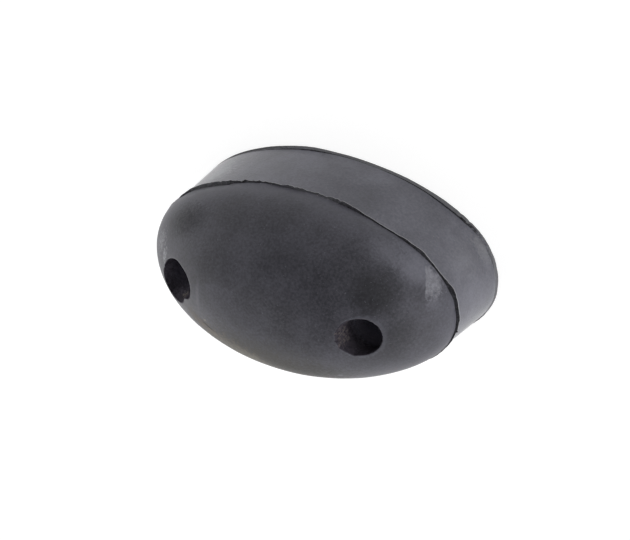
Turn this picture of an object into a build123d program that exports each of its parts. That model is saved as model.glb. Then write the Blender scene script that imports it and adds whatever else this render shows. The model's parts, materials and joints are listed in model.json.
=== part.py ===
from build123d import *

import os

# A moulded rubber buffer, in millimetres. The flat back lies on z = 0 with the origin at its
# centre, +X runs along the oval and +Z points out of the domed front.

# Driving dimensions
SEAM_LENGTH = 96.0  # the oval at the parting line, where the side wall meets the dome
SEAM_WIDTH = 53.0
WALL_HEIGHT = 24.5  # back face to parting line
DOME_HEIGHT = 25.5  # parting line to crown
WALL_SETBACK = 0.4  # the wall starts this far inside the dome's edge
BACK_LENGTH = 100.0  # the wall's oval at the back: the wall flares towards it
BACK_WIDTH = 56.0

HOLE_SPACING = 58.0  # the two screw holes, on the long axis
SCREW_HOLE_DIAMETER = 6.5
HEAD_BORE_DIAMETER = 11.5
SEAT_HEIGHT = 12.0  # rubber left under a screw's head
MOUTH_CHAMFER = 0.4  # broken edge where a head bore opens on the dome

FLASH_WIDTH = 0.8  # the thin fin left on the parting line
BACK_LIP_WIDTH = 0.4  # the thin lip left round the back edge
FLASH_THICKNESS = 0.4

# How the dome's outline shrinks with height h, as a share of the dome's height: each half axis
# is (1 - h ** fall) ** (1 / CROWN) of its size at the parting line. Across the oval the
# shoulder is full and nearly upright; along it the shoulder slopes sooner.
CROWN = 2.78
FALL_ALONG = 1.47
FALL_ACROSS = 1.97
SECTION_SHARES = (1, 0.985, 0.95, 0.88, 0.78, 0.65, 0.5, 0.35, 0.2, 0.08)  # of its half length

HEIGHT = WALL_HEIGHT + DOME_HEIGHT


def oval(length, width, z):
    """An elliptical face of the given size at height z."""
    return Pos(0, 0, z) * Ellipse(length / 2, width / 2)


def wall_section(share):
    """The wall's oval at the given share of its height, which tapers evenly from the back."""
    front_length = SEAM_LENGTH - 2 * WALL_SETBACK
    front_width = SEAM_WIDTH - 2 * WALL_SETBACK
    length = BACK_LENGTH + share * (front_length - BACK_LENGTH)
    width = BACK_WIDTH + share * (front_width - BACK_WIDTH)
    return oval(length, width, share * WALL_HEIGHT)


def side_wall():
    """The flaring wall, from the back face to the parting line, straight from oval to oval."""
    return loft([wall_section(share) for share in (0, 0.5, 1)], ruled=True)


def dome_section(share):
    """The dome's oval where its length is the given share of the length at the parting line."""
    rise = (1 - share**CROWN) ** (1 / FALL_ALONG)
    width = SEAM_WIDTH * (1 - rise**FALL_ACROSS) ** (1 / CROWN)
    return oval(SEAM_LENGTH * share, width, WALL_HEIGHT + rise * DOME_HEIGHT)


def dome():
    """The domed front, lofted through its ovals up to the crown."""
    sections = [dome_section(share) for share in SECTION_SHARES]
    return loft([*sections, Vertex(0, 0, HEIGHT)])


def fin(length, width, top):
    """A thin oval fin whose upper face is at height top."""
    return extrude(oval(length, width, top), amount=-FLASH_THICKNESS)


def screw_hole(x):
    """A head bore with a smaller screw hole under it, as one solid to take away."""
    through = Pos(x, 0, 0) * Cylinder(
        SCREW_HOLE_DIAMETER / 2, SEAT_HEIGHT, align=(Align.CENTER, Align.CENTER, Align.MIN)
    )
    head = Pos(x, 0, SEAT_HEIGHT) * Cylinder(
        HEAD_BORE_DIAMETER / 2, HEIGHT, align=(Align.CENTER, Align.CENTER, Align.MIN)
    )
    return through + head


def buffer_body():
    """The whole buffer, one solid."""
    parting_fin = fin(SEAM_LENGTH + 2 * FLASH_WIDTH, SEAM_WIDTH + 2 * FLASH_WIDTH, WALL_HEIGHT)
    back_lip = fin(
        BACK_LENGTH + 2 * BACK_LIP_WIDTH, BACK_WIDTH + 2 * BACK_LIP_WIDTH, FLASH_THICKNESS
    )
    solid = side_wall() + dome() + parting_fin + back_lip
    holes = [screw_hole(x) for x in (-HOLE_SPACING / 2, HOLE_SPACING / 2)]
    bored = solid - holes
    mouths = new_edges(solid, *holes, combined=bored).filter_by_position(
        Axis.Z, WALL_HEIGHT, HEIGHT
    )
    return chamfer(mouths, MOUTH_CHAMFER)


def main():
    os.makedirs("parts", exist_ok=True)
    body = buffer_body()
    body.label = "buffer_body"
    export_step(body, "parts/buffer_body.step")


if __name__ == "__main__":
    main()
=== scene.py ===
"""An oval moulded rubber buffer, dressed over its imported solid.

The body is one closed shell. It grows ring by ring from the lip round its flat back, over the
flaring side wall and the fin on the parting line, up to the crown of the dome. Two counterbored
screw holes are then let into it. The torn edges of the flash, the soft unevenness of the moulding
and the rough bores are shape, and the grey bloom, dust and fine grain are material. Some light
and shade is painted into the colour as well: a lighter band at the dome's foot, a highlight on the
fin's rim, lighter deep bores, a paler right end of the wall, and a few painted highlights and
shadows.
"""

import json
import logging
import math
from collections.abc import Callable
from dataclasses import astuple, dataclass, replace
from enum import Enum
from functools import partial
from itertools import pairwise

import bmesh
import bpy
from mathutils import Matrix, Vector, noise

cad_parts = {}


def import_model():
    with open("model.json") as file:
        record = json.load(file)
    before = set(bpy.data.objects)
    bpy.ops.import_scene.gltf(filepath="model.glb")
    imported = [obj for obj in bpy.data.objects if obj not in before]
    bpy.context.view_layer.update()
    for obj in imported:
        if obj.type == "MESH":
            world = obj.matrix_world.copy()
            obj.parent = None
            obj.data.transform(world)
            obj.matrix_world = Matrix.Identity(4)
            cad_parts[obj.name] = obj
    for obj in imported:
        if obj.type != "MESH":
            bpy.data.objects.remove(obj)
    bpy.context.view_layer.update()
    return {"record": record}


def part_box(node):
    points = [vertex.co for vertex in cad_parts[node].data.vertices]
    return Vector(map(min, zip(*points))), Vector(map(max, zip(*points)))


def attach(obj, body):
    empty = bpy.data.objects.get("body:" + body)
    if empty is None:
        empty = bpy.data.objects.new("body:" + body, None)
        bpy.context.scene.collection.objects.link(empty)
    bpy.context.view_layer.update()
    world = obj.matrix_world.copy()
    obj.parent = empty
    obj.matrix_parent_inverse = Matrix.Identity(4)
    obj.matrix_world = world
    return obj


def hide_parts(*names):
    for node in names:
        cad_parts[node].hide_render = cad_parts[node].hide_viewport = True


log = logging.getLogger("buffer")

Colour = tuple[float, float, float, float]
Triple = tuple[float, float, float]
Names = tuple[str, ...]
Layers = tuple[tuple[float, float], ...]
Element = bmesh.types.BMFace | bmesh.types.BMEdge
Socket = bpy.types.NodeSocket
Input = Socket | float | Colour

MM = 0.001
SEGMENTS = 840  # round every ring of the body
FIN_STEP = 1.0  # how far a fin's rings stand out before its edge is torn, in millimetres

# Each layer of these patterns has its strength, and how often it repeats in a millimetre.
TORN_EDGE: Layers = ((1.4, 0.9), (0.8, 2.6))
CRUMBLED_WALL: Layers = ((1.0, 1.1), (0.7, 3.1))


class End(Enum):
    """Which end of the buffer a screw hole is at, as the sign of its place along X."""

    LEFT = -1
    RIGHT = 1


class Zone(Enum):
    """The differently finished stretches of the moulding, numbered as their materials."""

    DOME = 0
    WALL = 1
    BORE = 2
    TORN = 3
    LIP = 4


class Part(Enum):
    """Which parts of a mesh are selected, as edit mode names them."""

    EDGES = "EDGE"
    FACES = "FACE"


def layered(spot: Vector, layers: Layers) -> float:
    """The sum of a pattern's layers of noise at a spot, in millimetres."""
    return sum(strength * noise.noise(spot * scale) for strength, scale in layers)


# ---------------------------------------------------------------------------------------------
# The flash and the worn mouths


@dataclass(frozen=True)
class Station:
    """How a torn fin stands at one angle round the oval.

    Args:
        angle: degrees from +X, anticlockwise seen from the front.
        reach: how far the fin stands out, in millimetres.
        rag: how far its torn edge wanders, in millimetres.
        root: how far the body is drawn in at the fin's root, in millimetres.
        tall: the height of the fin's top over the back, as a share of its plain height.
    """

    angle: float
    reach: float
    rag: float = 0.05
    root: float = 0.0
    tall: float = 1.0


@dataclass(frozen=True)
class Tear:
    """A nick or a jag in a fin's edge or in a hole's mouth.

    Args:
        angle: degrees from +X.
        half_angle: half of the stretch that it takes up, in degrees.
        reach: what it adds to the edge's reach at its middle, in millimetres.
    """

    angle: float
    half_angle: float
    reach: float

    def share(self, degrees: float) -> float:
        """How much of the tear shows at an angle, from 0 at its ends to 1 at its middle."""
        off = abs((degrees - self.angle + 180) % 360 - 180) / self.half_angle
        return max(1 - off, 0)


@dataclass(frozen=True)
class Fin:
    """The outline of one thin fin of flash, all the way round.

    Args:
        stations: its reach at chosen angles, in rising order.
        tears: the nicks and jags in its edge.
        curl: how far its tip wanders up and down, in millimetres.
        seed: moves the pattern of its ragged edge, so that no two fins are alike.
        least: the smallest reach, in millimetres.
        curl_scale: how often the wandering of its tip repeats in a millimetre.
    """

    stations: tuple[Station, ...]
    tears: tuple[Tear, ...]
    curl: float
    seed: float
    least: float = 0.02
    curl_scale: float = 0.35

    def between(self, turn: float) -> Station:
        """Blends the stations on each side of an angle.

        Args:
            turn: the angle round the oval, in radians.

        Returns:
            The fin as it stands there.
        """
        degrees = math.degrees(turn) % 360
        first, last = self.stations[0], self.stations[-1]
        before_first = replace(last, angle=last.angle - 360)
        after_last = replace(first, angle=first.angle + 360)
        pairs = pairwise((before_first, *self.stations, after_last))
        before, after = next(pair for pair in pairs if degrees <= pair[1].angle)
        share = (degrees - before.angle) / (after.angle - before.angle)
        share = share * share * (3 - 2 * share)
        ends = zip(astuple(before), astuple(after))
        return Station(*(low + share * (high - low) for low, high in ends))

    def reach(self, turn: float, place: Vector) -> float:
        """Works out how far the fin stands out.

        Args:
            turn: the angle round the oval, in radians.
            place: the point on the oval, in millimetres.

        Returns:
            The reach in millimetres.
        """
        station = self.between(turn)
        out = station.reach
        for tear in self.tears:
            out += tear.reach * tear.share(station.angle)
        spot = place + Vector((self.seed, 0, 0))
        out += station.rag * layered(spot, TORN_EDGE)
        return max(out, self.least)

    def lift(self, place: Vector) -> float:
        """How far the tip is lifted at a point on the oval, in millimetres."""
        return self.curl * noise.noise(place * self.curl_scale + Vector((0, self.seed, 0)))


SEAM_FIN = Fin(
    stations=(
        Station(0, 0.75, 0.05, 0.08),
        Station(3, 1.0, 0.05, 0.08),
        Station(9, 1.05, 0.05, 0.1),
        Station(15, 1.45, 0.05, -0.25),
        Station(21, 1.78, 0.05, -0.1),
        Station(24.5, 1.2, 0.05, -0.2),
        Station(30, 0.94, 0.06, -0.3),
        Station(36, 1.05, 0.06, -0.4),
        Station(42, 1.38, 0.05, -0.3),
        Station(48, 1.0, 0.05, -0.13),
        Station(54, 0.5, 0.05),
        Station(60, 0.25, 0.04, 0.18),
        Station(66, 0.5, 0.05, 0.07),
        Station(72, 1.05, 0.1, -0.05),
        Station(76, 1.4, 0.12, -0.12),
        Station(84, 0.95, 0.2, -0.3),
        Station(88, 1.0, 0.2, -0.4),
        Station(93, 0.95, 0.2),
        Station(96.5, 1.0, 0.2, -0.1),
        Station(99, 0.85, 0.16),
        Station(105, 0.9, 0.2, -0.35),
        Station(111, 0.8, 0.22, -0.15),
        Station(118, 0.6, 0.2, 0.15),
        Station(122, 0.75, 0.15, 0.6),
        Station(129, 0.8, 0.12, 0.5),
        Station(134, 0.9, 0.06, 0.28),
        Station(140, 0.85, 0.05, 0.05),
        Station(147, 0.5, 0.04, 0.05),
        Station(153, 0.08, 0.03, -0.2),
        Station(185, 0.35, 0.15),
        Station(215, 0.7, 0.15),
        Station(240, 0.4, 0.12),
        Station(275, 0.6, 0.15),
        Station(310, 0.35, 0.1),
        Station(340, 0.25, 0.05),
        Station(350, 0.4, 0.05, 0.1),
    ),
    tears=(
        Tear(77.5, 1.0, 0.25),
        Tear(81.8, 1.0, 0.3),
        Tear(85.5, 1.2, 0.25),
        Tear(89, 0.9, -0.25),
        Tear(96.2, 0.8, 0.15),
        Tear(113.8, 1.2, 0.3),
        Tear(115.8, 0.7, -0.4),
        Tear(120, 0.8, 0.2),
        Tear(125, 0.8, -0.2),
        Tear(196, 2.5, 0.5),
        Tear(232, 2.0, 0.6),
        Tear(262, 3.0, -0.4),
        Tear(291, 1.5, 0.5),
        Tear(354.6, 1.3, 0.45),
    ),
    curl=0.22,
    seed=3.0,
)

BACK_LIP = Fin(
    stations=(
        Station(0, -0.22, 0.03, 0, 1.25),
        Station(10, -0.03, 0.03, 0, 1.1),
        Station(20, 0.44, 0.04, 0, 0.8),
        Station(28, 0.86, 0.04, 0, 0.5),
        Station(36, 0.83, 0.04, 0, 0.55),
        Station(40, 0.74, 0.04, 0, 0.95),
        Station(50, 0.54, 0.03, 0, 1.1),
        Station(62, 0.32, 0.03, 0, 0.85),
        Station(80, 0.06, 0.03, 0, 0.85),
        Station(92, 0.17, 0.03, 0, 0.8),
        Station(104, 0.53, 0.03, 0, 1.05),
        Station(118, 0.25, 0.03, 0, 1.3),
        Station(128, 0.08, 0.03, 0, 1.4),
        Station(138, 0.04, 0.03, 0, 1.4),
        Station(146, 0.0, 0.03, 0, 0.8),
        Station(200, 0.3, 0.06, 0, 1.0),
        Station(260, 0.35, 0.08, 0, 1.1),
        Station(320, 0.25, 0.05, 0, 0.9),
        Station(336, 0.28, 0.03, 0, 1.1),
        Station(344, 0.08, 0.03, 0, 1.15),
        Station(351, 0.0, 0.03, 0, 1.2),
    ),
    tears=(Tear(43, 1.2, -0.15), Tear(38.8, 1.2, -0.2), Tear(27, 3, -0.1), Tear(240, 2, -0.3)),
    curl=0.0,
    seed=11.0,
    least=-0.4,
)


@dataclass(frozen=True)
class Mouth:
    """How a counterbore's mouth is worn out of round. Its lengths are in millimetres.

    Args:
        shift: how far the mouth's middle has moved along X and Y.
        widen: how much its radius has grown.
        nicks: the nicks in its edge, at angles round the hole's own axis.
        chip: the one large piece that has broken out of its edge, if there is one.
        rag: how far its edge wanders.
        rag_scale: how often the wandering repeats, for a mouth of radius 1.
        least: how far its edge stands out at the least.
        chip_rim: how far the chip's broken face reaches past the bore at its ends.
        chip_face: how much further it reaches at its middle.
    """

    shift: tuple[float, float]
    widen: float
    nicks: tuple[Tear, ...]
    chip: Tear | None = None
    rag: float = 0.1
    rag_scale: float = 9.0
    least: float = -0.7
    chip_rim: float = 1.2
    chip_face: float = 3.2

    def wear(self, direction: Vector) -> float:
        """Works out how far the mouth's edge stands out from the bore.

        Args:
            direction: the level direction from the hole's axis.

        Returns:
            The distance in millimetres.
        """
        out = self.widen + direction.x * self.shift[0] + direction.y * self.shift[1]
        degrees = math.degrees(math.atan2(direction.y, direction.x))
        tears = (self.chip, *self.nicks) if self.chip else self.nicks
        for tear in tears:
            out += tear.reach * tear.share(degrees)
        return max(out, self.least) + self.rag * noise.noise(direction * self.rag_scale)

    def broken(self, out: Vector, radius: float) -> bool:
        """Tells whether a place lies on the face that the chip has left.

        Args:
            out: the place from the hole's axis, in millimetres.
            radius: the bore's radius, in millimetres.

        Returns:
            Whether it does.
        """
        if self.chip is None:
            return False
        share = self.chip.share(math.degrees(math.atan2(out.y, out.x)))
        return share > 0 and out.length < radius + self.chip_rim + self.chip_face * share


MOUTHS = {
    End.LEFT: Mouth(
        shift=(-0.35, -0.8),
        widen=0.4,
        nicks=(
            Tear(304, 24, -1.0),
            Tear(318, 5, 0.2),
            Tear(292, 4, 0.15),
            Tear(64, 22, -0.15),
            Tear(92, 20, 0.15),
        ),
        chip=Tear(238, 58, 2.9),
    ),
    End.RIGHT: Mouth(
        shift=(-0.12, 0.0),
        widen=-0.12,
        nicks=(
            Tear(258, 10, 0.3),
            Tear(236, 10, -0.12),
            Tear(176, 5, 0.3),
            Tear(196, 4, 0.25),
            Tear(217, 5, 0.25),
        ),
    ),
}


# ---------------------------------------------------------------------------------------------
# The moulding's form

HALVINGS = 34  # to find a height on the dome
SECTION_SAMPLES = 1500  # along the dome's section, to space its rings evenly


@dataclass(frozen=True)
class Ring:
    """One oval loop of the body, in millimetres.

    Args:
        length: half of the oval's length along X, without any fin.
        width: half of its width along Y, without any fin.
        height: its height above the back.
        share: how far it stands out on a fin, as a share of the fin's reach.
    """

    length: float
    width: float
    height: float
    share: float = 0.0

    def half_axes(self) -> tuple[float, float]:
        """Half of the loop's length and width as it is first drawn, a fin's step included."""
        return self.length + self.share * FIN_STEP, self.width + self.share * FIN_STEP


@dataclass(frozen=True)
class Form:
    """The outer form of the moulding, in millimetres, as the solid has it.

    The dome's outline shrinks with its height, as a share of the dome's height: each half axis is
    (1 - rise ** fall) ** (1 / crown) of its size at the parting line.

    Args:
        hole_spacing: between the axes of the two screw holes.
        screw_radius: of a screw hole.
        head_radius: of a head bore.
        height: from the back to the crown.
        seam_length: the oval's length at the parting line.
        seam_width: its width there.
        wall_height: from the back to the parting line.
        wall_setback: how far inside the dome's edge the side wall starts.
        back_length: the side wall's length at the back.
        back_width: its width there.
        seat_height: the rubber left under a screw's head.
        crown: how full the dome is.
        fall_along: how late it falls off along X.
        fall_across: how late it falls off along Y.
    """

    hole_spacing: float
    screw_radius: float
    head_radius: float
    height: float
    seam_length: float = 96.0
    seam_width: float = 53.0
    wall_height: float = 24.5
    wall_setback: float = 0.4
    back_length: float = 100.0
    back_width: float = 56.0
    seat_height: float = 12.0
    crown: float = 2.78
    fall_along: float = 1.47
    fall_across: float = 1.97

    @classmethod
    def of_frame(cls, record: dict, node: str) -> "Form":
        """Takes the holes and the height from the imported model.

        Args:
            record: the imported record, whose mounts give the holes.
            node: the solid's name.

        Returns:
            The form.
        """
        mounts = {mount["name"]: mount["dims"] for mount in record["mounts"]}
        return cls(
            hole_spacing=mounts["screw_holes"]["spacing_x_mm"],
            screw_radius=mounts["screw_holes"]["hole_r_mm"],
            head_radius=mounts["head_bore_right"]["r_mm"],
            height=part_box(node)[1].z / MM,
        )

    @property
    def dome_depth(self) -> float:
        """The dome's own height, from the parting line to the crown."""
        return self.height - self.wall_height

    def wall_oval(self, height: float) -> tuple[float, float]:
        """Works out the side wall's oval.

        Args:
            height: above the back, in millimetres.

        Returns:
            Half of its length and half of its width.
        """
        share = height / self.wall_height
        front_length = self.seam_length - 2 * self.wall_setback
        front_width = self.seam_width - 2 * self.wall_setback
        length = self.back_length + share * (front_length - self.back_length)
        width = self.back_width + share * (front_width - self.back_width)
        return length / 2, width / 2

    def dome_oval(self, rise: float) -> tuple[float, float]:
        """Works out the dome's oval.

        Args:
            rise: its height above the parting line, as a share of the dome's height.

        Returns:
            Half of its length and half of its width.
        """
        length = self.seam_length * max(1 - rise**self.fall_along, 0) ** (1 / self.crown)
        width = self.seam_width * max(1 - rise**self.fall_across, 0) ** (1 / self.crown)
        return length / 2, width / 2

    def dome_height(self, x: float, y: float) -> float:
        """Finds the dome's height above the back, by halving.

        Args:
            x: the place along X, inside the seam.
            y: the place along Y.

        Returns:
            The height in millimetres.
        """
        low, high = 0.0, 1.0
        for _ in range(HALVINGS):
            rise = (low + high) / 2
            length, width = self.dome_oval(rise)
            inside = length > 0 and width > 0 and (x / length) ** 2 + (y / width) ** 2 < 1
            low, high = (rise, high) if inside else (low, rise)
        return self.wall_height + low * self.dome_depth

    def even_rises(self, count: int) -> list[float]:
        """Heights on the dome, as shares of its own, that are evenly spaced along its section.

        Args:
            count: how many are wanted.

        Returns:
            The shares, rising from just above the seam to just under the crown.
        """
        samples = range(SECTION_SAMPLES + 1)
        rises = [1 - (1 - sample / SECTION_SAMPLES) ** 2 for sample in samples]
        points = [Vector((sum(self.dome_oval(rise)) / 2, rise * self.dome_depth)) for rise in rises]
        travelled = [0.0]
        for before, after in pairwise(points):
            travelled.append(travelled[-1] + (after - before).length)
        found, index = [], 0
        for number in range(1, count + 1):
            goal = travelled[-1] * number / (count + 1)
            while travelled[index] < goal:
                index += 1
            found.append(rises[index])
        return found


# ---------------------------------------------------------------------------------------------
# Work on a mesh in edit mode


def begin_edit() -> None:
    """Goes into edit mode with nothing selected."""
    bpy.ops.object.mode_set(mode="EDIT")
    bpy.ops.mesh.select_mode(type="VERT")
    bpy.ops.mesh.select_all(action="DESELECT")


def end_edit() -> None:
    """Leaves edit mode."""
    bpy.ops.object.mode_set(mode="OBJECT")


def select_where(piece: bpy.types.Object, part: Part, wanted: Callable[[Element], bool]) -> int:
    """Selects the faces or the edges of a piece in edit mode that pass a test.

    Args:
        piece: the piece that is being edited.
        part: whether its faces or its edges are selected.
        wanted: takes a face or an edge.

    Returns:
        How many are selected.
    """
    bpy.ops.mesh.select_mode(type=part.value)
    mesh = bmesh.from_edit_mesh(piece.data)
    elements = mesh.faces if part is Part.FACES else mesh.edges
    for element in elements:
        element.select_set(wanted(element))
    mesh.select_flush_mode()
    bmesh.update_edit_mesh(piece.data)
    return sum(element.select for element in elements)


def select_rim(piece: bpy.types.Object, test: Callable[[Vector], bool]) -> int:
    """Selects the open edges of a piece in edit mode whose both ends pass a test.

    Args:
        piece: the piece that is being edited.
        test: takes a vertex's place, in metres.

    Returns:
        How many edges are selected.
    """

    def on_rim(edge: bmesh.types.BMEdge) -> bool:
        """Whether an edge is open and passes the test."""
        return edge.is_boundary and all(test(vertex.co) for vertex in edge.verts)

    return select_where(piece, Part.EDGES, on_rim)


def place_selected(piece: bpy.types.Object, place: Callable[[Vector], Vector]) -> None:
    """Moves each selected vertex of a piece in edit mode.

    Args:
        piece: the piece that is being edited.
        place: takes where a vertex is and says where it goes, in metres.
    """
    mesh = bmesh.from_edit_mesh(piece.data)
    for vertex in mesh.verts:
        if vertex.select:
            vertex.co = place(vertex.co)
    bmesh.update_edit_mesh(piece.data, loop_triangles=False)


# ---------------------------------------------------------------------------------------------
# The screw holes


@dataclass(frozen=True)
class Spot:
    """Where a point lies from a hole's axis, in millimetres.

    Args:
        direction: the level direction from the axis, of length 1.
        out: its distance from the axis.
        height: its height above the back.
    """

    direction: Vector
    out: float
    height: float


@dataclass(frozen=True)
class ScrewHole:
    """One counterbored screw hole, let into the dome. Its lengths are in millimetres.

    Args:
        form: the moulding's form, with the hole's place and radii.
        end: the end that it is at.
        mouth: how its mouth is worn.
        patch_margin: how far past the bore the dome's rings are cut away, along the oval.
        patch_turn: how far they are cut away each way round the oval, in degrees.
        collar_steps: rings on the dome from there to the mouth.
        rounding: the radius of the mouth's edge.
        rounding_steps: rings over the mouth's edge.
        wear_depth: how far down the bore the wear of its mouth reaches.
        uneven: how far the bore is out of round.
        uneven_scale: how often that repeats, for a bore of radius 1.
        rough: how far the bore's crumbled wall stands in and out.
        rough_from: the ring, counted from the mouth, from which the wall is as rough as that.
        fine_step: the height of a ring in the upper bore.
        fine_steps: rings of that height.
        coarse_steps: rings from there to the seat.
        seat_steps: rings across the seat.
        screw_steps: rings from the seat to the back.
    """

    form: Form
    end: End
    mouth: Mouth
    patch_margin: float = 3.0
    patch_turn: float = 28.0
    collar_steps: int = 10
    rounding: float = 0.4
    rounding_steps: int = 5
    wear_depth: float = 8.0
    uneven: float = 0.09
    uneven_scale: float = 1.7
    rough: float = 0.2
    rough_from: int = 3
    fine_step: float = 0.5
    fine_steps: int = 22
    coarse_steps: int = 8
    seat_steps: int = 2
    screw_steps: int = 4

    @property
    def axis(self) -> float:
        """Where the hole's axis is along X."""
        return self.end.value * self.form.hole_spacing / 2

    @property
    def foot(self) -> Vector:
        """Where the hole's axis meets the back."""
        return Vector((self.axis, 0, 0))

    def sink(self, body: bpy.types.Object) -> None:
        """Cuts a patch of the dome away and lets the hole into it, down to the open back.

        Args:
            body: the shell.
        """
        form = self.form
        begin_edit()
        self.cut_patch(body)
        seam = form.wall_height * MM
        count = select_rim(body, lambda place: place.z > seam and place.x * self.end.value > 0)
        log.info("hole %s: a rim of %d edges", self.end.name.lower(), count)
        for left in range(self.collar_steps, 0, -1):
            self.extrude(body, partial(self.inward, left=left))
        for step in range(1, self.rounding_steps + 1):
            turn = math.radians(90 * step / self.rounding_steps)
            self.extrude(body, partial(self.over_edge, turn=turn))
        for step in range(1, self.fine_steps + self.coarse_steps + 1):
            self.extrude(body, partial(self.down, step=step))
        for step in range(1, self.seat_steps + 1):
            share = step / self.seat_steps
            edge = form.head_radius + share * (form.screw_radius - form.head_radius)
            self.extrude(body, partial(self.at, radius=edge, height=form.seat_height))
        for step in range(1, self.screw_steps + 1):
            height = (1 - step / self.screw_steps) * form.seat_height
            self.extrude(body, partial(self.at, radius=form.screw_radius, height=height))
        end_edit()

    def cut_patch(self, body: bpy.types.Object) -> None:
        """Takes away the dome's faces round the hole, in whole rings and turns.

        Args:
            body: the shell, in edit mode.
        """
        form = self.form
        margin = form.head_radius + self.patch_margin
        low = form.dome_height(abs(self.axis) + margin, 0)
        high = form.dome_height(abs(self.axis) - margin, 0)

        def in_patch(face: bmesh.types.BMFace) -> bool:
            """Tells whether a face is taken away.

            Args:
                face: a face of the shell.

            Returns:
                Whether it lies in the patch.
            """
            x, y, z = face.calc_center_median() / MM
            if not (low < z < high and x * self.end.value > 0):
                return False
            length, width = form.dome_oval((z - form.wall_height) / form.dome_depth)
            return abs(math.degrees(math.atan2(y / width, abs(x) / length))) < self.patch_turn

        select_where(body, Part.FACES, in_patch)
        bpy.ops.mesh.delete(type="FACE")

    def extrude(self, body: bpy.types.Object, goal: Callable[[Spot], Vector]) -> None:
        """Extrudes the hole's rim once and moves it to its goal.

        Args:
            body: the shell, in edit mode, with the rim selected.
            goal: takes where a point of the rim is and says where it goes, in millimetres.
        """
        foot = self.foot

        def place(point: Vector) -> Vector:
            """Turns the goal into the mesh's own place.

            Args:
                point: where a point of the rim is, in metres.

            Returns:
                Where it goes, in metres.
            """
            out = point / MM - foot
            out.z = 0
            return goal(Spot(out.normalized(), out.length, point.z / MM)) * MM

        bpy.ops.mesh.extrude_region_move()
        place_selected(body, place)

    def radius_at(self, direction: Vector, sink: float = 0.0) -> float:
        """Works out the bore's radius.

        Args:
            direction: the level direction from the axis.
            sink: how far under the mouth, in millimetres.

        Returns:
            The radius in millimetres.
        """
        shifted = direction * self.uneven_scale + Vector((self.axis, 5, 0))
        worn = self.mouth.wear(direction) * max(1 - sink / self.wear_depth, 0) ** 2
        return self.form.head_radius + self.uneven * noise.noise(shifted) + worn

    def on_dome(self, direction: Vector, out: float, sink: float = 0.0) -> Vector:
        """Finds a point on the dome.

        Args:
            direction: the level direction from the axis.
            out: the distance from the axis, in millimetres.
            sink: how far the point lies under the dome, in millimetres.

        Returns:
            The point.
        """
        place = self.foot + direction * out
        place.z = self.form.dome_height(place.x, place.y) - sink
        return place

    def at(self, spot: Spot, radius: float, height: float) -> Vector:
        """Finds the point at a radius and a height, in the direction of a spot.

        Args:
            spot: where a point of the rim is.
            radius: the distance from the axis, in millimetres.
            height: above the back, in millimetres.

        Returns:
            The point.
        """
        place = self.foot + spot.direction * radius
        place.z = height
        return place

    def inward(self, spot: Spot, left: int) -> Vector:
        """Goes an even share of what is left towards the mouth.

        Args:
            spot: where a point of the rim is.
            left: how many steps are left.

        Returns:
            Where the point goes.
        """
        goal = self.radius_at(spot.direction) + self.rounding
        return self.on_dome(spot.direction, spot.out + (goal - spot.out) / left)

    def over_edge(self, spot: Spot, turn: float) -> Vector:
        """Rolls over the mouth's rounded edge.

        Args:
            spot: where a point of the rim is.
            turn: how far round the edge, in radians.

        Returns:
            Where the point goes.
        """
        edge = self.radius_at(spot.direction) + self.rounding * (1 - math.sin(turn))
        return self.on_dome(spot.direction, edge, self.rounding * (1 - math.cos(turn)))

    def down(self, spot: Spot, step: int) -> Vector:
        """Goes down the bore, in fine steps first and then to the seat.

        Args:
            spot: where a point of the rim is.
            step: the number of the ring, from 1 under the mouth.

        Returns:
            Where the point goes.
        """
        drop = self.fine_step
        if step > self.fine_steps:
            left = self.fine_steps + self.coarse_steps - step + 1
            drop = (spot.height - self.form.seat_height) / left
        radius = self.radius_at(spot.direction, step * self.fine_step)
        place = self.at(spot, radius, spot.height - drop)
        rough = self.rough * min(step / self.rough_from, 1)
        return place + spot.direction * rough * layered(place, CRUMBLED_WALL)


# ---------------------------------------------------------------------------------------------
# The body

ON_RING = 0.999  # of a ring's oval: what is nearer the middle isn't on the ring
FLUSH = 1.003  # of the seam's oval: what is further out belongs to the fin
DOME_FOOT = (0.004, 0.012)  # the rises of two close rings at the dome's foot
SHARP_EDGE = 38.0  # degrees, past which an edge isn't shaded smooth
SKIN_WAVES = (("swell", 14.0, 0.1), ("dimple", 3.2, 0.05))  # names, sizes and heights


def out_of_oval(length: float, width: float, turn: float) -> Vector:
    """The level direction that points straight out of an oval at an angle round it."""
    return Vector((width * math.cos(turn), length * math.sin(turn), 0)).normalized()


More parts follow.
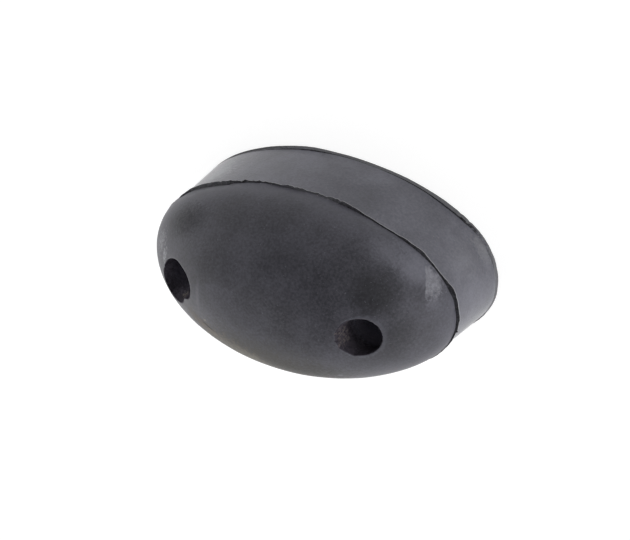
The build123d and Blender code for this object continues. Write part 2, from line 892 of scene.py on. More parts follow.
@dataclass(frozen=True)
class MouldedBuffer:
    """The whole rubber body as one closed shell.

    Its sizes are in millimetres, and its mesh is in metres.

    Args:
        form: the outer form.
        seam_fin: the fin on the parting line.
        back_lip: the lip round the back edge.
        fin_height: the fin's thickness.
        lip_height: the lip's plain height.
        lip_foot: what of the lip lies above this has its height from the lip's stations.
        fin_edge: how far the flat edge of the fin or lip stays inside its height.
        root_fade: how far up the dome it is drawn in behind the fin.
        root_start: how far under the parting line that begins.
        lip_clear: where the side wall's rings begin, as a share of the lip's height.
        fin_clear: how far under the fin they end.
        wall_rings: rings on the side wall.
        dome_rings: rings on the dome.
        crown_radius: of the last ring, which is then drawn together to a point.
        back_skin: what lies lower than this is the flat back.
        near_hole: how far from its axis a bore's faces lie at most, as a share of its radius.
        bore_core: what lies nearer the axis than this is all bore.
        bore_facing: how far a bore's faces look at its axis at least.
        looks_up: how far the upper faces of a fin or lip look up at least.
        torn_under: how far under the parting line the fin's torn edge begins.
        torn_over: how far over the parting line it ends.
        lip_torn: the heights between which the lip's upper face lies.
        skin_from: the height from which the skin is uneven.
        skin_fade: the height in which its unevenness grows to the full.
        hole_fade: the distance from a bore in which it does.
    """

    form: Form
    seam_fin: Fin = SEAM_FIN
    back_lip: Fin = BACK_LIP
    fin_height: float = 0.4
    lip_height: float = 1.5
    lip_foot: float = 0.2
    fin_edge: float = 0.12
    root_fade: float = 4.0
    root_start: float = 0.035
    lip_clear: float = 1.6
    fin_clear: float = 0.1
    wall_rings: int = 12
    dome_rings: int = 52
    crown_radius: float = 0.05
    back_skin: float = 0.01
    near_hole: float = 1.7
    bore_core: float = 5.0
    bore_facing: float = 0.45
    looks_up: float = 0.7
    torn_under: float = 0.5
    torn_over: float = 0.05
    lip_torn: tuple[float, float] = (0.3, 3.75)
    skin_from: float = 1.0
    skin_fade: float = 3.0
    hole_fade: float = 2.0

    def build(self) -> bpy.types.Object:
        """Makes the body's mesh, with its zones marked as material numbers.

        Returns:
            The body, at the origin.
        """
        rings = [*self.lip_rings(), *self.side_rings(), *self.fin_rings(), *self.crown_rings()]
        body = self.raise_shell(rings)
        self.tear_fin(body, self.lip_rings(), self.back_lip)
        self.tear_fin(body, self.fin_rings(), self.seam_fin)
        self.draw_in_root(body)
        for end in End:
            ScrewHole(self.form, end, MOUTHS[end]).sink(body)
        self.close_back(body)
        for face in body.data.polygons:
            face.material_index = self.zone(face).value
        self.soften(body)
        return body

    def lip_rings(self) -> list[Ring]:
        """Draws the lip's section at the foot of the side wall.

        Returns:
            Its rings, from the back upwards.
        """
        top = self.lip_height
        inner = top + 0.05
        # Each point's height, and its share of the lip's reach
        section = (
            (0, 0.85),
            (self.fin_edge, 1),
            (top - self.fin_edge, 1),
            (top, 0.85),
            (inner, 0.1),
            (inner + self.fin_edge, 0.001),
        )
        return [Ring(*self.form.wall_oval(height), height, share) for height, share in section]

    def side_rings(self) -> list[Ring]:
        """Spaces the side wall's rings evenly from the lip to the root of the fin.

        Returns:
            The rings.
        """
        low = self.lip_height * self.lip_clear
        high = self.form.wall_height - self.fin_height - self.fin_clear
        count = self.wall_rings
        heights = [low + (high - low) * number / count for number in range(1, count + 1)]
        return [Ring(*self.form.wall_oval(height), height) for height in heights]

    def fin_rings(self) -> list[Ring]:
        """Draws the fin's section on the parting line.

        Returns:
            Its rings, from its underside to the dome's edge.
        """
        top = self.form.wall_height
        seam = self.form.dome_oval(0)
        under = top - self.fin_height
        # Each point's height, and its share of the fin's reach
        section = (
            (under, 0.1),
            (under + 0.05, 0.6),
            (under + self.fin_edge, 1),
            (top - 0.05, 0.97),
            (top - 0.03, 0.65),
            (top - 0.01, 0.3),
            (top, 0.02),
        )
        return [Ring(*seam, height, share) for height, share in section]

    def crown_rings(self) -> list[Ring]:
        """Draws the dome's rings, two close ones at its foot and the others evenly spaced.

        Returns:
            The rings, from just above the fin to the crown's own point.
        """
        form = self.form
        rings = [
            Ring(*form.dome_oval(rise), form.wall_height + rise * form.dome_depth)
            for rise in (*DOME_FOOT, *form.even_rises(self.dome_rings))
        ]
        return [*rings, Ring(self.crown_radius, self.crown_radius, form.height)]

    def raise_shell(self, rings: list[Ring]) -> bpy.types.Object:
        """Draws the first ring and extrudes it through all the others to the crown.

        Args:
            rings: the rings in order, the last one almost a point.

        Returns:
            The open shell.
        """
        first = rings[0]
        bpy.ops.mesh.primitive_circle_add(vertices=SEGMENTS, radius=MM, location=(0, 0, 0))
        body = bpy.context.object
        body.name = body.data.name = "moulded_buffer"
        bpy.ops.object.mode_set(mode="EDIT")
        bpy.ops.mesh.select_all(action="SELECT")
        bpy.ops.mesh.select_mode(type="EDGE")
        bpy.ops.transform.resize(value=(*first.half_axes(), 1), center_override=(0, 0, 0))
        for before, after in pairwise(rings):
            rise = (after.height - before.height) * MM
            bpy.ops.mesh.extrude_region_move(TRANSFORM_OT_translate={"value": (0, 0, rise)})
            growth = [new / old for new, old in zip(after.half_axes(), before.half_axes())]
            bpy.ops.transform.resize(value=(*growth, 1), center_override=(0, 0, after.height * MM))
        bpy.ops.mesh.merge(type="CENTER")
        end_edit()
        return body

    def tear_fin(self, body: bpy.types.Object, rings: list[Ring], fin: Fin) -> None:
        """Moves a fin's rings in or out to its torn outline.

        Args:
            body: the shell.
            rings: the fin's own rings.
            fin: the outline.
        """
        levels = {round(ring.height, 2): ring for ring in rings}
        for vertex in body.data.vertices:
            ring = levels.get(round(vertex.co.z / MM, 2))
            if ring is None:
                continue
            length, width = ring.half_axes()
            if math.hypot(vertex.co.x / MM / length, vertex.co.y / MM / width) < ON_RING:
                continue
            turn = math.atan2(vertex.co.y / width, vertex.co.x / length)
            height = ring.height
            length, width = ring.length, ring.width
            if fin is self.back_lip and height > self.lip_foot:
                height *= fin.between(turn).tall
                length, width = self.form.wall_oval(height)
            foot = Vector((length * math.cos(turn), width * math.sin(turn), 0))
            foot += out_of_oval(length, width, turn) * ring.share * fin.reach(turn, foot)
            foot.z = height + ring.share * fin.lift(foot)
            vertex.co = foot * MM

    def draw_in_root(self, body: bpy.types.Object) -> None:
        """Draws the dome's foot in behind the widest stretches of the fin.

        Args:
            body: the shell.
        """
        length, width = self.form.dome_oval(0)
        for vertex in body.data.vertices:
            above = vertex.co.z / MM - self.form.wall_height + self.root_start
            flush = math.hypot(vertex.co.x / MM / length, vertex.co.y / MM / width) < FLUSH
            if flush and 0 < above < self.root_fade:
                turn = math.atan2(vertex.co.y / width, vertex.co.x / length)
                root = self.seam_fin.between(turn).root
                fade = (1 - above / self.root_fade) ** 2
                vertex.co -= out_of_oval(length, width, turn) * root * fade * MM

    def close_back(self, body: bpy.types.Object) -> None:
        """Fills the flat back round the two screw holes and turns every face outwards.

        Args:
            body: the shell.
        """
        begin_edit()
        select_rim(body, lambda place: abs(place.z) < self.back_skin * MM)
        bpy.ops.mesh.fill(use_beauty=True)
        bpy.ops.mesh.select_all(action="SELECT")
        bpy.ops.mesh.normals_make_consistent(inside=False)
        end_edit()

    def zone(self, face: bpy.types.MeshPolygon) -> Zone:
        """Tells the zone that a face lies in.

        Args:
            face: the face.

        Returns:
            Its zone.
        """
        form = self.form
        x, y, z = face.center / MM
        up = face.normal.z
        out = Vector((x - math.copysign(form.hole_spacing / 2, x), y, 0))
        mouth = MOUTHS[End.LEFT if x < 0 else End.RIGHT]
        in_bore = (
            -face.normal.dot(out.normalized()) > self.bore_facing
            or out.length < self.bore_core
            or mouth.broken(out, form.head_radius)
        )
        if z > self.back_skin and out.length < self.near_hole * form.head_radius and in_bore:
            return Zone.BORE
        on_fin = -self.torn_under < z - form.wall_height < self.torn_over
        on_lip = self.lip_torn[0] < z < self.lip_torn[1]
        if up > self.looks_up and (on_fin or on_lip):
            return Zone.TORN
        if up < self.looks_up and self.back_skin < z < self.lip_height:
            return Zone.LIP
        return Zone.DOME if z > form.wall_height else Zone.WALL

    def soften(self, body: bpy.types.Object) -> None:
        """Gives the skin the slight unevenness of moulded rubber and shades it smooth.

        Args:
            body: the closed body.
        """
        form = self.form
        skin = body.vertex_groups.new(name="skin")
        for vertex in body.data.vertices:
            x, y, z = vertex.co / MM
            clear = math.hypot(abs(x) - form.hole_spacing / 2, y) - form.head_radius
            beside = min(max(clear / self.hole_fade, 0), 1)
            above = min(max((z - self.skin_from) / self.skin_fade, 0), 1)
            skin.add([vertex.index], beside * above, "REPLACE")
        for name, size, strength in SKIN_WAVES:
            texture = bpy.data.textures.new(name, "CLOUDS")
            texture.noise_scale = size * MM
            texture.noise_depth = 1
            displace = body.modifiers.new(name, "DISPLACE")
            displace.texture = texture
            displace.texture_coords = "LOCAL"
            displace.vertex_group = "skin"
            displace.strength = strength * MM
            displace.mid_level = 0.5
            bpy.ops.object.modifier_apply(modifier=name)
        body.vertex_groups.remove(body.vertex_groups["skin"])
        bpy.ops.object.shade_smooth_by_angle(angle=math.radians(SHARP_EDGE))


# ---------------------------------------------------------------------------------------------
# Finishes


@dataclass(frozen=True)
class Pattern:
    """One pattern of noise on the rubber.

    Args:
        scale: how often it repeats in a metre.
        detail: how many finer layers it has.
        rough: how strong each layer is beside the one before.
        low: the value at which patches of it begin.
        high: the value at which they are full.
    """

    scale: float
    detail: float = 2.0
    rough: float = 0.6
    low: float = 0.3
    high: float = 0.7


BLOTCHES = Pattern(90.0, 3.0, 0.55)
FLECKS = Pattern(1400.0)
SPECKS = Pattern(1900.0, 1.0, 0.5, low=0.69, high=0.78)
RUBBED_GAPS = Pattern(1300.0, low=0.65, high=0.4)
FINE_GRAIN = Pattern(3200.0)
COARSE_GRAIN = Pattern(700.0, 3.0)
RAGGED_EDGE = Pattern(900.0, 3.0)

MIX_FACTOR, MIX_FIRST, MIX_SECOND, MIX_RESULT = 0, 6, 7, 2  # the Mix node's sockets for colours


class Graph:
    """Adds and wires nodes in one node tree."""

    def __init__(self, tree: bpy.types.NodeTree) -> None:
        """Starts on an empty tree."""
        self.tree = tree
        tree.nodes.clear()

    def node(self, kind: str, inputs: dict | None = None, **settings: object) -> bpy.types.Node:
        """Adds a node.

        Args:
            kind: the node's type name.
            inputs: what each input takes: a socket to link from, or a plain value.
            settings: the node's own properties.

        Returns:
            The node.
        """
        made = self.tree.nodes.new(kind)
        for name, value in settings.items():
            setattr(made, name, value)
        for key, value in (inputs or {}).items():
            if isinstance(value, Socket):
                self.tree.links.new(value, made.inputs[key])
            else:
                made.inputs[key].default_value = value
        return made

    def math(self, operation: str, first: Input, second: Input = 0.0) -> Socket:
        """One sum of two values or sockets."""
        return self.node("ShaderNodeMath", {0: first, 1: second}, operation=operation).outputs[0]

    def fade(self, value: Socket, low: Input, high: Input) -> Socket:
        """Makes a smooth mask.

        Args:
            value: what it follows.
            low: the value at which it is 0.
            high: the value at which it is 1.

        Returns:
            The mask.
        """
        ends = {"Value": value, "From Min": low, "From Max": high}
        made = self.node("ShaderNodeMapRange", ends, interpolation_type="SMOOTHSTEP")
        return made.outputs["Result"]

    def mix(self, share: Input, first: Input, second: Input) -> Socket:
        """A blend of two colours, all of the second where share is 1."""
        sides = {MIX_FACTOR: share, MIX_FIRST: first, MIX_SECOND: second}
        return self.node("ShaderNodeMix", sides, data_type="RGBA").outputs[MIX_RESULT]

    def patches(self, place: Socket, pattern: Pattern) -> Socket:
        """A mask of a pattern's patches."""
        return self.fade(self.noise(place, pattern), pattern.low, pattern.high)

    def noise(self, place: Socket, pattern: Pattern) -> Socket:
        """Reads a pattern of noise.

        Args:
            place: where it is read.
            pattern: the pattern.

        Returns:
            Its value there.
        """
        inputs = {
            "Vector": place,
            "Scale": pattern.scale,
            "Detail": pattern.detail,
            "Roughness": pattern.rough,
        }
        return self.node("ShaderNodeTexNoise", inputs).outputs["Fac"]


@dataclass(frozen=True)
class Group:
    """A shader node group that is being built.

    Args:
        graph: its nodes.
        given: its inputs' sockets by name.
        wanted: its outputs' sockets by name.
    """

    graph: Graph
    given: bpy.types.bpy_prop_collection
    wanted: bpy.types.bpy_prop_collection

    @classmethod
    def start(
        cls, name: str, vectors: Names, values: Names = (), outputs: Names = ("Mask",)
    ) -> "Group":
        """Starts a group.

        Args:
            name: its name.
            vectors: the names of its vector inputs.
            values: the names of its plain inputs.
            outputs: the names of its outputs, which are all plain values.

        Returns:
            The group.
        """
        tree = bpy.data.node_groups.new(name, "ShaderNodeTree")
        for label in vectors:
            tree.interface.new_socket(label, in_out="INPUT", socket_type="NodeSocketVector")
        for label in values:
            tree.interface.new_socket(label, in_out="INPUT", socket_type="NodeSocketFloat")
        for label in outputs:
            tree.interface.new_socket(label, in_out="OUTPUT", socket_type="NodeSocketFloat")
        graph = Graph(tree)
        source, sink = graph.node("NodeGroupInput"), graph.node("NodeGroupOutput")
        return cls(graph, source.outputs, sink.inputs)

    def end(self, **results: Socket) -> bpy.types.NodeTree:
        """Links what the group puts out.

        Args:
            results: the socket for each output by name.

        Returns:
            The group's tree.
        """
        for name, socket in results.items():
            self.graph.tree.links.new(socket, self.wanted[name])
        return self.graph.tree


def mottle_group() -> bpy.types.NodeTree:
    """Builds the soft blotches, flecks and specks that moulded rubber shows.

    Returns:
        The group's tree.
    """
    group = Group.start("rubber_mottle", ("Place",), outputs=("Blotch", "Fleck", "Speck"))
    graph, place = group.graph, group.given["Place"]
    return group.end(
        Blotch=graph.patches(place, BLOTCHES),
        Fleck=graph.patches(place, FLECKS),
        Speck=graph.patches(place, SPECKS),
    )


def grain_group() -> bpy.types.NodeTree:
    """Builds the height of the skin's fine grain.

    Returns:
        The group's tree.
    """
    group = Group.start("rubber_grain", ("Place",), ("Coarse",), outputs=("Height",))
    graph, place = group.graph, group.given["Place"]
    coarse = graph.math("MULTIPLY", graph.noise(place, COARSE_GRAIN), group.given["Coarse"])
    return group.end(Height=graph.math("ADD", graph.noise(place, FINE_GRAIN), coarse))


CUT_SOFTNESS = 0.06  # of a mark's half length
GAP_SHARE = 0.5  # how deep the gaps in a mark are, as a share of its raggedness
NOISE_MIDDLE = 0.5  # what a pattern's values lie round


def mark_group() -> bpy.types.NodeTree:
    """Builds the mask of one mark, an oval patch with a ragged edge: rubbed and dirty marks, and
    spots of painted light and shade.

    Its Cut ends the patch sharply across its own X axis, as a share of its half length.

    Returns:
        The group's tree.
    """
    vectors = ("Place", "Middle", "Turn", "Size", "Stretch")
    group = Group.start("rubber_mark", vectors, ("Soft", "Rag", "Cut"))
    graph, given = group.graph, group.given
    stretched = {"Vector": given["Place"], "Scale": given["Stretch"]}
    streaked = graph.node("ShaderNodeMapping", stretched, vector_type="POINT").outputs[0]
    inner = graph.math("SUBTRACT", 1.0, given["Soft"])
    mapping = {
        "Vector": given["Place"],
        "Location": given["Middle"],
        "Rotation": given["Turn"],
        "Scale": given["Size"],
    }
    local = graph.node("ShaderNodeMapping", mapping, vector_type="TEXTURE").outputs[0]
    out = graph.node("ShaderNodeVectorMath", {0: local}, operation="LENGTH").outputs["Value"]
    ragged = graph.math("SUBTRACT", graph.noise(streaked, RAGGED_EDGE), NOISE_MIDDLE)
    out = graph.math("ADD", out, graph.math("MULTIPLY", ragged, given["Rag"]))
    mask = graph.math("SUBTRACT", 1.0, graph.fade(out, inner, 1.0))
    along = graph.node("ShaderNodeSeparateXYZ", {"Vector": local}).outputs["X"]
    past = graph.math("SUBTRACT", along, given["Cut"])
    mask = graph.math("MULTIPLY", mask, graph.fade(past, 0.0, CUT_SOFTNESS))
    gaps = graph.patches(streaked, RUBBED_GAPS)
    worn = graph.math("MULTIPLY", gaps, graph.math("MULTIPLY", given["Rag"], GAP_SHARE))
    return group.end(Mask=graph.math("MAXIMUM", graph.math("SUBTRACT", mask, worn), 0.0))


@dataclass(frozen=True)
class Groups:
    """The node groups that every finish uses.

    Args:
        mottle: the blotches, flecks and specks.
        grain: the height of the grain.
        mark: the mask of a mark.
    """

    mottle: bpy.types.NodeTree
    grain: bpy.types.NodeTree
    mark: bpy.types.NodeTree


@dataclass(frozen=True)
class Mark:
    """A patch that is lighter or darker than the rubber round it.

    Args:
        middle: its middle, in millimetres.
        size: half of its extent along its own axes, in millimetres.
        tone: how far it goes towards the finish's colour of dust and painted light, or below nothing
            towards the bare rubber.
        turn: how it is turned round X, Y and Z, in degrees.
        soft: how much of its extent its edge takes up.
        rag: how ragged its edge is.
        cut: where it ends sharply across its own X axis, as a share of its half length.
        colour: what it goes towards instead of that colour or the bare rubber.
        rough: the roughness that it goes towards, if it has its own.
        stretch: how finely its raggedness repeats along X, Y and Z, under 1 where it is drawn
            out into streaks.
    """

    middle: Triple
    size: Triple
    tone: float
    turn: Triple = (0.0, 0.0, 0.0)
    soft: float = 0.4
    rag: float = 0.6
    cut: float = -2.0
    colour: Colour | None = None
    rough: float | None = None
    stretch: Triple = (1.0, 1.0, 1.0)


BARE_SKIN = (0.014, 0.014, 0.017, 1)
BROWN_DUST = (0.125, 0.107, 0.09, 1)
BROWN_FILM = (0.061, 0.057, 0.045, 1)
EDGE_DUST = (0.15, 0.137, 0.112, 1)
PALE_DUST = (0.17, 0.15, 0.13, 1)
PINK_GRIT = (0.12, 0.104, 0.1, 1)
BORE_PAINTED_LIGHT = (0.42, 0.4, 0.5, 1)
DULL_WALL = (0.05, 0.05, 0.06, 1)
PALE_SCUFF = (0.45, 0.45, 0.48, 1)
PALE_GRIT = (0.26, 0.235, 0.2, 1)
SCUFF_AND_PAINTED_LIGHT = (0.21, 0.21, 0.235, 1)
SCRATCH_AND_SHADE_BLACK = (0.007, 0.007, 0.008, 1)
SHEEN_ROUGHNESS = 0.3
BLOOM_ROUGHNESS = 0.1  # what the bloom adds


@dataclass(frozen=True)
class RubberFinish:
    """How one zone of the rubber looks.

    Args:
        name: the material's name.
        deep: the colour of clean rubber.
        bloom: the colour under the grey bloom.
        dust_and_light: the colour of the specks of dust, of the light marks and of the painted light
            band.
        dust_share: how much of a speck shows.
        roughness: the roughness of the clean rubber.
        specular: the strength of its gloss, on the shader's own scale.
        sheen: the strength of the dusty sheen that shows at a glancing angle.
        grain: the height of the fine grain, in millimetres.
        coarse: how strong the coarse grain is beside the fine.
        fleck: the share of fine flecks in the bloom, beside its broad blotches.
        painted_light_band: painted light, lighter towards some heights: where it begins and where it
            is
        strongest, in millimetres, and how much of it shows there.
        marks: the patches that stand out from the rest, each laid over those before it.
    """

    name: str
    deep: Colour
    bloom: Colour
    dust_and_light: Colour
    dust_share: float
    roughness: float
    specular: float
    sheen: float = 0.0
    grain: float = 0.03
    coarse: float = 1.0
    fleck: float = 0.5
    painted_light_band: Triple | None = None
    marks: tuple[Mark, ...] = ()

    def add_marks(
        self, graph: Graph, groups: Groups, place: Socket, colour: Socket, rough: Socket
    ) -> tuple[Socket, Socket]:
        """Lays the marks over a colour and a roughness.

        Args:
            graph: the material's graph.
            groups: the shared groups.
            place: the place on the piece.
            colour: the colour without any mark.
            rough: the roughness without any mark.

        Returns:
            The colour and the roughness with the marks.
        """
        for mark in self.marks:
            inputs = {
                "Place": place,
                "Middle": [length * MM for length in mark.middle],
                "Turn": [math.radians(angle) for angle in mark.turn],
                "Size": [length * MM for length in mark.size],
                "Soft": mark.soft,
                "Rag": mark.rag,
                "Cut": mark.cut,
                "Stretch": mark.stretch,
            }
            mask = graph.node("ShaderNodeGroup", inputs, node_tree=groups.mark).outputs["Mask"]
            share = graph.math("MULTIPLY", mask, abs(mark.tone))
            target = mark.colour or (self.dust_and_light if mark.tone > 0 else self.deep)
            colour = graph.mix(share, colour, target)
            if mark.rough is not None:
                change = graph.math("SUBTRACT", mark.rough, rough)
                rough = graph.math("ADD", rough, graph.math("MULTIPLY", share, change))
        return colour, rough

    def add_painted_light_band(self, graph: Graph, place: Socket, colour: Socket) -> Socket:
        """Lays the band of painted light over a colour, if the finish has one.

        Args:
            graph: the material's graph.
            place: the place on the piece.
            colour: the colour without the band of painted light.

        Returns:
            The colour with the painted light.
        """
        if self.painted_light_band is None:
            return colour
        # Painted light: the colour goes towards the light colour between two heights
        begins, strongest, share = self.painted_light_band
        height = graph.node("ShaderNodeSeparateXYZ", {"Vector": place}).outputs["Z"]
        band = graph.fade(height, begins * MM, strongest * MM)
        return graph.mix(graph.math("MULTIPLY", band, share), colour, self.dust_and_light)

    def material(self, groups: Groups) -> bpy.types.Material:
        """Builds the material.

        Args:
            groups: the shared groups.

        Returns:
            The material.
        """
        made = bpy.data.materials.new(self.name)
        made.use_nodes = True
        graph = Graph(made.node_tree)
        place = graph.node("ShaderNodeTexCoord").outputs["Object"]
        mottle = graph.node("ShaderNodeGroup", {"Place": place}, node_tree=groups.mottle).outputs
        blotches = graph.math("MULTIPLY", mottle["Blotch"], 1 - self.fleck)
        flecks = graph.math("MULTIPLY", mottle["Fleck"], self.fleck)
        share = graph.math("ADD", blotches, flecks)
        colour = graph.mix(share, self.deep, self.bloom)
        colour = self.add_painted_light_band(graph, place, colour)
        rough = graph.math("ADD", graph.math("MULTIPLY", share, BLOOM_ROUGHNESS), self.roughness)
        colour, rough = self.add_marks(graph, groups, place, colour, rough)
        specks = graph.math("MULTIPLY", mottle["Speck"], self.dust_share)
        colour = graph.mix(specks, colour, self.dust_and_light)
        grained = {"Place": place, "Coarse": self.coarse}
        height = graph.node("ShaderNodeGroup", grained, node_tree=groups.grain).outputs["Height"]
        raised = {"Height": height, "Distance": self.grain * MM, "Strength": 1.0}
        shader = graph.node(
            "ShaderNodeBsdfPrincipled",
            {
                "Base Color": colour,
                "Roughness": rough,
                "Specular IOR Level": self.specular,
                "Sheen Weight": self.sheen,
                "Sheen Roughness": SHEEN_ROUGHNESS,
                "Normal": graph.node("ShaderNodeBump", raised).outputs["Normal"],
            },
        )
        graph.node("ShaderNodeOutputMaterial", {"Surface": shader.outputs["BSDF"]})
        return made


DOME_FINISH = RubberFinish(
    name="dome_rubber",
    deep=(0.0275, 0.027, 0.033, 1),
    bloom=(0.071, 0.07, 0.085, 1),
    dust_and_light=(0.152, 0.152, 0.18, 1),
    dust_share=0.35,
    roughness=0.48,
    specular=0.21,
    sheen=0.15,
    # Painted light: lighter towards the dome's foot, against the shade there by the fin
    painted_light_band=(35.0, 24.0, 0.28),
    marks=(
        # Darker skin, wiped clean of its bloom, beside the holes and along the top
        Mark((30.8, 12.3, 40.7), (13.0, 9.0, 9.5), 0.9, soft=0.8, rag=0.4, colour=BARE_SKIN),
        Mark((38.0, 2.0, 39.0), (10.0, 10.0, 9.0), 0.65, soft=1.0, colour=BARE_SKIN),
        Mark((-33.0, 14.0, 36.5), (12.0, 9.0, 10.0), 0.85, soft=1.0, colour=BARE_SKIN),
        Mark((-28.0, 16.5, 38.5), (12.0, 9.0, 9.0), 0.75, soft=1.0, colour=BARE_SKIN, rough=0.75),
        Mark((8.0, 17.5, 45.0), (15.0, 10.5, 8.0), 0.4, soft=1.0, colour=BARE_SKIN),
        Mark((37.0, -4.0, 40.5), (14.0, 11.0, 10.0), 0.45, soft=1.0, colour=BARE_SKIN),
        # Lighter patches on the shoulder at the right end, down to the seam
        Mark((37.5, 16.0, 29.5), (12.0, 6.0, 8.0), 0.85, soft=0.9, rag=0.4),
        Mark((29.5, 19.8, 31.2), (12.0, 6.0, 7.5), 0.6, soft=1.0, rag=0.4),
        Mark((35.0, 18.0, 26.0), (14.0, 6.0, 3.2), 0.5, soft=0.9, rag=0.5),
        # The brown film, with dust, a cleaner patch and a scratch in it
        Mark(
            (-3.0, -22.5, 44.0),
            (44.0, 22.0, 17.0),
            0.8,
            soft=0.7,
            rag=0.5,
            colour=BROWN_FILM,
            rough=0.95,
        ),
        Mark(
            (-19.5, -11.0, 46.0),
            (11.5, 4.5, 4.0),
            0.9,
            turn=(0.0, 0.0, -32.0),
            soft=0.8,
            rag=1.0,
            colour=BROWN_DUST,
            rough=0.9,
        ),
        Mark((15.0, -17.0, 44.0), (22.0, 10.0, 9.0), 0.4, soft=1.0, colour=BARE_SKIN),
        Mark(
            (-7.5, -15.8, 45.9),
            (19.0, 6.5, 5.0),
            0.8,
            turn=(0.0, 0.0, -24.0),
            soft=0.8,
            rag=1.2,
            colour=EDGE_DUST,
            rough=0.9,
        ),
        Mark(
            (-17.3, -10.9, 47.1),
            (3.2, 0.5, 1.5),
            0.7,
            turn=(0.0, 0.0, -28.0),
            soft=0.6,
            colour=SCRATCH_AND_SHADE_BLACK,
            rough=0.95,
        ),
        # The scuff on the right end, which stops at a straight line
        Mark(
            (39.9, 13.3, 29.5),
            (8.5, 6.5, 5.0),
            0.9,
            turn=(-63.3, 42.8, -24.5),
            soft=0.6,
            rag=0.8,
            cut=0.0,
            colour=SCUFF_AND_PAINTED_LIGHT,
        ),
        Mark((43.2, 8.0, 30.5), (4.0, 4.0, 4.5), 0.35, soft=0.9, rag=0.8),
        # A pale streak and a crumb beside the left hole, and a painted highlight on the rounded rim
        # of the right one
        Mark((-20.2, -0.6, 48.0), (1.0, 7.5, 3.0), 0.3, soft=0.8, rag=0.3),
        Mark((-18.2, -8.8, 47.7), (1.1, 1.1, 0.8), 0.5, soft=0.8, rag=1.5, colour=PALE_GRIT),
        Mark((29.0, 0.0, 42.0), (7.1, 7.1, 14.0), 0.2, soft=0.12, rag=0.3),
        # The scuffs outside the left hole, and a pale speck beside the right one
        Mark((-36.0, 3.5, 41.0), (2.0, 4.5, 3.0), 0.4, soft=0.9, rag=1.2, colour=PALE_SCUFF),
        Mark((-39.0, 6.0, 37.5), (5.5, 6.5, 6.5), 0.3, soft=1.0, rag=1.3, colour=PALE_SCUFF),
        Mark((22.5, -16.0, 42.2), (1.3, 0.5, 0.7), 0.8, soft=0.6, rag=0.3),
    ),
)
WALL_FINISH = RubberFinish(
    name="wall_rubber",
    deep=(0.085, 0.085, 0.1, 1),
    bloom=(0.152, 0.152, 0.179, 1),
    dust_and_light=(0.3, 0.3, 0.31, 1),
    dust_share=0.2,
    roughness=0.48,
    specular=0.21,
    sheen=0.9,
    fleck=0.4,
    # Painted highlight along the fin's outer rim, just under the parting line
    painted_light_band=(23.95, 24.1, 0.7),
    marks=(
        # The duller middle of the wall, its right end painted paler as a reflection of the bright
        # floor, and the scuff on its left end
        Mark((9.0, 25.0, 17.0), (27.0, 12.0, 13.0), 0.6, soft=0.9, colour=DULL_WALL),
        Mark((44.0, 13.0, 12.0), (10.0, 9.0, 12.0), 0.12, soft=1.0),
        Mark((45.0, 12.0, 2.0), (9.0, 8.0, 5.0), 0.4, soft=1.0),
        Mark(
            (-36.0, 19.0, 14.0),
            (13.0, 9.0, 13.0),
            0.36,
            soft=1.0,
            rag=1.0,
            colour=PALE_SCUFF,
            stretch=(0.5, 0.5, 1.1),
        ),
        Mark((-40.0, 15.0, 14.0), (8.0, 8.0, 14.0), -0.45, soft=1.0, rag=1.0),
    ),
)
LIP_FINISH = RubberFinish(
    name="lip_rubber",
    deep=(0.03, 0.03, 0.034, 1),
    bloom=(0.05, 0.05, 0.055, 1),
    dust_and_light=(0.16, 0.16, 0.17, 1),
    dust_share=0.3,
    roughness=0.6,
    specular=0.1,
    coarse=2.0,
    marks=(Mark((32.0, 18.0, 0.0), (62.0, 34.0, 20.0), 0.8, soft=0.3, rag=0.3),),
)
BORE_FINISH = RubberFinish(
    name="bore_rubber",
    deep=(0.021, 0.018, 0.024, 1),
    bloom=(0.048, 0.043, 0.053, 1),
    dust_and_light=(0.3, 0.285, 0.36, 1),
    dust_share=0.2,
    roughness=0.65,
    specular=0.05,
    grain=0.14,
    coarse=2.0,
    fleck=0.7,
    marks=(
        # Painted light deep in the right hole and in the left one, where they lie in shade, then grit
        # on their upper walls
        Mark((29.0, 0.0, 29.0), (40.0, 40.0, 12.0), 0.9, soft=0.83, rag=0.2, colour=BORE_PAINTED_LIGHT),
        Mark((-29.0, 0.0, 30.0), (20.0, 20.0, 14.5), 0.6, soft=0.9, rag=0.2, colour=BORE_PAINTED_LIGHT),
        Mark((23.6, -1.5, 44.0), (2.6, 6.0, 5.0), 0.7, soft=0.7, rag=2.0, colour=PINK_GRIT),
        Mark((-28.8, -6.8, 41.4), (2.6, 1.5, 2.2), 0.7, soft=0.7, rag=1.6, colour=PALE_DUST),
    ),
)
# Torn flash, clean of bloom, whose dark colour is also painted shade in the crevice along the fin and
# the lip
TORN_AND_SHADED_FINISH = RubberFinish(
    name="torn_and_shaded_rubber",
    deep=(0.011, 0.011, 0.013, 1),
    bloom=(0.05, 0.049, 0.057, 1),
    dust_and_light=(0.11, 0.11, 0.12, 1),
    dust_share=0.4,
    roughness=0.6,
    specular=0.2,
    grain=0.06,
    coarse=2.0,
    fleck=0.8,
    marks=(
        # Lighter on the fin's left stretch, with a painted shadow of one nick in it, and lighter on
        # its middle
        Mark((-32.0, 21.0, 24.5), (13.0, 7.0, 3.0), 0.8, soft=0.5, rag=1.0),
        Mark((-20.0, 24.5, 24.5), (0.8, 1.2, 1.0), 0.9, soft=0.4, rag=0.3, colour=SCRATCH_AND_SHADE_BLACK),
        Mark((0.0, 27.3, 24.5), (18.0, 4.0, 3.0), 0.7, soft=0.6, rag=0.8),
        # Painted light in the shaded gap between the lip and the wall at the right end
        Mark((45.0, 11.0, 1.0), (9.0, 9.0, 3.0), 1.0, soft=0.6, rag=0.8, colour=SCUFF_AND_PAINTED_LIGHT),
    ),
)
